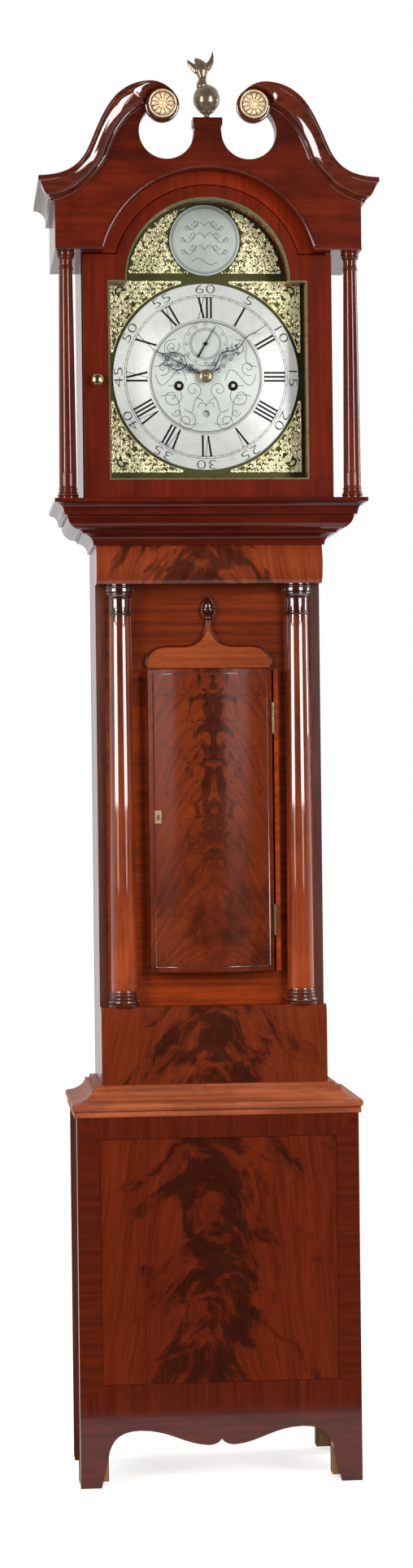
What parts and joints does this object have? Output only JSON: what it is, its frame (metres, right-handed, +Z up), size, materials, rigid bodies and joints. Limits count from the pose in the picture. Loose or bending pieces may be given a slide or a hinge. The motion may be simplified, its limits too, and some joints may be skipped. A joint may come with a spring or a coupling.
{
  "type": "longcase clock",
  "caption": "Longcase clock with an arched dial, a swan-neck hood on free-standing columns, a bow-front trunk door and a panelled base on bracket feet.",
  "frame": {"origin": "centre of the bounding box's bottom face, on the floor under the clock", "axes": "+Z up, -Y towards the viewer of the dial, +X to the viewer's right"},
  "size_m": [0.518, 0.277, 2.179],
  "materials": {
    "oak_back": "plain sawn oak, unpolished",
    "mahogany_sides": "dark mahogany, French polished",
    "mahogany_flame": "flame-figured mahogany veneer, French polished",
    "mahogany_straight": "straight-grained mahogany, French polished",
    "mahogany_moulding": "solid mahogany moulding, French polished",
    "brass": "polished brass",
    "dial_brass": "aged matted brass",
    "silvered": "silvered brass with circular grain",
    "gilt_brass": "gilt cast brass",
    "aged_bronze": "dark aged cast brass",
    "bell_metal": "turned bell metal",
    "blued_steel": "blued steel",
    "steel": "polished steel",
    "iron": "cast weight, dull",
    "glass": "clear old glass",
    "gut": "twisted gut line"
  },
  "bodies": {
    "case": {"backboard": "oak_back", "seatboard": "oak_back", "base_floor": "oak_back", "trunk_sides": "mahogany_sides", "base_sides": "mahogany_sides", "trunk_frieze": "mahogany_flame", "trunk_plinth": "mahogany_flame", "base_front": "mahogany_flame", "bracket_skirt": "mahogany_flame", "ogee_panel": "mahogany_flame", "trunk_front": "mahogany_straight", "trunk_columns": "mahogany_straight", "throat_moulding": "mahogany_moulding", "base_moulding": "mahogany_moulding", "trunk_hinges_fixed": "brass", "movement_frame": "brass", "back_cock": "brass", "dial_plate": "dial_brass", "chapter_ring": "silvered", "dial_centre": "silvered", "dial_roundel": "silvered", "spandrels": "gilt_brass", "strike_bell": "bell_metal", "going_line": "gut", "strike_line": "gut"},
    "trunk_door": {"trunk_door_panel": "mahogany_flame", "trunk_hinges_moving": "brass", "escutcheon": "brass"},
    "hood": {"hood_base": "mahogany_moulding", "entablature_returns": "mahogany_moulding", "swan_necks": "mahogany_moulding", "hood_carcase": "mahogany_sides", "hood_mask": "mahogany_sides", "hood_columns": "mahogany_straight", "tympanum": "mahogany_flame", "rosettes": "gilt_brass", "finial": "aged_bronze"},
    "hood_door": {"hood_door_frame": "mahogany_straight", "hood_door_pins": "brass", "hood_knob": "brass", "sight_bead": "gilt_brass", "hood_glass": "glass"},
    "minute_hand": {"minute_hand": "blued_steel"},
    "minute_wheel": {"minute_wheel": "brass"},
    "hour_hand": {"hour_hand": "blued_steel"},
    "escape_arbor": {"escape_wheel": "brass", "seconds_hand": "blued_steel"},
    "third_arbor": {"third_wheel": "brass"},
    "centre_arbor": {"centre_wheel": "brass"},
    "going_great_wheel": {"going_great_wheel": "brass"},
    "going_barrel": {"going_barrel": "brass"},
    "going_weight": {"going_weight": "iron"},
    "strike_great_wheel": {"strike_great_wheel": "brass"},
    "pin_wheel": {"pin_wheel": "brass"},
    "strike_barrel": {"strike_barrel": "brass"},
    "strike_weight": {"strike_weight": "iron"},
    "hammer": {"strike_hammer": "steel"},
    "anchor": {"anchor_and_crutch": "steel"},
    "pendulum": {"pendulum": "brass"},
    "date_disc": {"date_disc": "silvered"}
  },
  "joints": [
    {"name": "hood_slide", "type": "slide", "parent": "case", "child": "hood", "axis": [0, -1, 0], "range_m": [0, 0.26]},
    {"name": "hood_door_swing", "type": "hinge", "parent": "hood", "child": "hood_door", "pos_m": [0.186, -0.0745, 1.69], "axis": [0, 0, 1], "range_deg": [0, 100]},
    {"name": "trunk_door_swing", "type": "hinge", "parent": "case", "child": "trunk_door", "pos_m": [0.0975, -0.0445, 1.013], "axis": [0, 0, 1], "range_deg": [0, 105]},
    {"name": "minute_hand_turn", "type": "hinge", "parent": "case", "child": "minute_hand", "pos_m": [0, 0, 1.699], "axis": [0, 1, 0], "continuous": true},
    {"name": "hour_hand_turn", "type": "hinge", "parent": "case", "child": "hour_hand", "pos_m": [0, 0, 1.699], "axis": [0, 1, 0], "continuous": true},
    {"name": "minute_wheel_turn", "type": "hinge", "parent": "case", "child": "minute_wheel", "pos_m": [0.019, 0, 1.6661], "axis": [0, 1, 0], "continuous": true},
    {"name": "escape_turn", "type": "hinge", "parent": "case", "child": "escape_arbor", "pos_m": [0, 0, 1.75], "axis": [0, 1, 0], "continuous": true},
    {"name": "third_turn", "type": "hinge", "parent": "case", "child": "third_arbor", "pos_m": [0.0164, 0, 1.7269], "axis": [0, 1, 0], "continuous": true},
    {"name": "centre_turn", "type": "hinge", "parent": "case", "child": "centre_arbor", "pos_m": [0, 0, 1.699], "axis": [0, 1, 0], "continuous": true},
    {"name": "going_great_turn", "type": "hinge", "parent": "case", "child": "going_great_wheel", "pos_m": [0.042, 0, 1.685], "axis": [0, 1, 0], "continuous": true},
    {"name": "going_weight_lift", "type": "slide", "parent": "case", "child": "going_weight", "axis": [0, 0, 1], "range_m": [0, 1.13], "deforming": ["going_line"]},
    {"name": "going_barrel_turn", "type": "hinge", "parent": "case", "child": "going_barrel", "pos_m": [0.042, 0, 1.685], "axis": [0, 1, 0], "range_deg": [-10, 5190]},
    {"name": "strike_weight_lift", "type": "slide", "parent": "case", "child": "strike_weight", "axis": [0, 0, 1], "range_m": [0, 1.13], "deforming": ["strike_line"]},
    {"name": "strike_barrel_turn", "type": "hinge", "parent": "case", "child": "strike_barrel", "pos_m": [-0.042, 0, 1.685], "axis": [0, 1, 0], "range_deg": [-10, 5190]},
    {"name": "pin_wheel_turn", "type": "hinge", "parent": "case", "child": "pin_wheel", "pos_m": [-0.046, 0, 1.7262], "axis": [0, 1, 0], "continuous": true},
    {"name": "strike_great_turn", "type": "hinge", "parent": "case", "child": "strike_great_wheel", "pos_m": [-0.042, 0, 1.685], "axis": [0, 1, 0], "continuous": true},
    {"name": "hammer_lift", "type": "hinge", "parent": "case", "child": "hammer", "pos_m": [-0.062, 0, 1.759], "axis": [0, 1, 0], "range_deg": [-12, 0], "stiffness_Nm_per_rad": 0.05},
    {"name": "pendulum_swing", "type": "hinge", "parent": "case", "child": "pendulum", "pos_m": [0, 0.081, 1.778], "axis": [0, 1, 0], "range_deg": [-2.5, 2.5]},
    {"name": "anchor_rock", "type": "hinge", "parent": "case", "child": "anchor", "pos_m": [0, 0.081, 1.778], "axis": [0, 1, 0], "range_deg": [-3, 3]},
    {"name": "date_disc_turn", "type": "hinge", "parent": "case", "child": "date_disc", "pos_m": [0, 0, 1.619], "axis": [0, 1, 0], "continuous": true}
  ],
  "couplings": [
    {"joint": "hour_hand_turn", "follows": "minute_hand_turn", "ratio": 0.083333},
    {"joint": "minute_wheel_turn", "follows": "minute_hand_turn", "ratio": -1},
    {"joint": "third_turn", "follows": "escape_turn", "ratio": -0.125},
    {"joint": "centre_turn", "follows": "escape_turn", "ratio": 0.016667},
    {"joint": "going_great_turn", "follows": "escape_turn", "ratio": -0.0013889},
    {"joint": "going_barrel_turn", "follows": "going_weight_lift", "rad_per_m": 80},
    {"joint": "strike_barrel_turn", "follows": "strike_weight_lift", "rad_per_m": 80},
    {"joint": "strike_great_turn", "follows": "pin_wheel_turn", "ratio": -0.095238},
    {"joint": "anchor_rock", "follows": "pendulum_swing", "ratio": 1}
  ]
}
